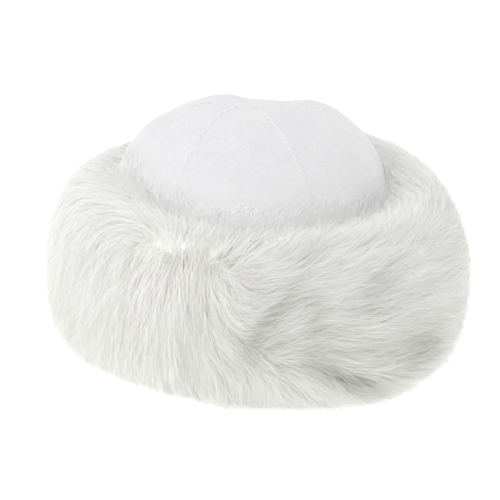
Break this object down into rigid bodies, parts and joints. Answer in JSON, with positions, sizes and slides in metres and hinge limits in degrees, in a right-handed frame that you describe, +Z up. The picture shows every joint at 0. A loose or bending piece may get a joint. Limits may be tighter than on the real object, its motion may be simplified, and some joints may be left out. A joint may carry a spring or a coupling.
{
  "type": "fur-cuffed gored hat",
  "caption": "Winter hat with a low rounded crown sewn from smooth wedge-shaped gores and a very deep long-pile fur cuff folded up all round it.",
  "frame": {"origin": "centre of the hat's outline in plan, on the plane that its rim rests on", "axes": "+Z up through the crown, -Y to the front of the hat, +X to the viewer's right as seen from the front"},
  "size_m": [0.2933, 0.297, 0.1729],
  "materials": {
    "crown_cloth": "brushed suede-like nap, matt",
    "fur": "long soft pile"
  },
  "bodies": {
    "root": {"crown_gore_1": "crown_cloth", "crown_gore_2": "crown_cloth", "crown_gore_3": "crown_cloth", "crown_gore_4": "crown_cloth", "crown_gore_5": "crown_cloth", "crown_gore_6": "crown_cloth", "fur_cuff": "fur"}
  },
  "joints": []
}
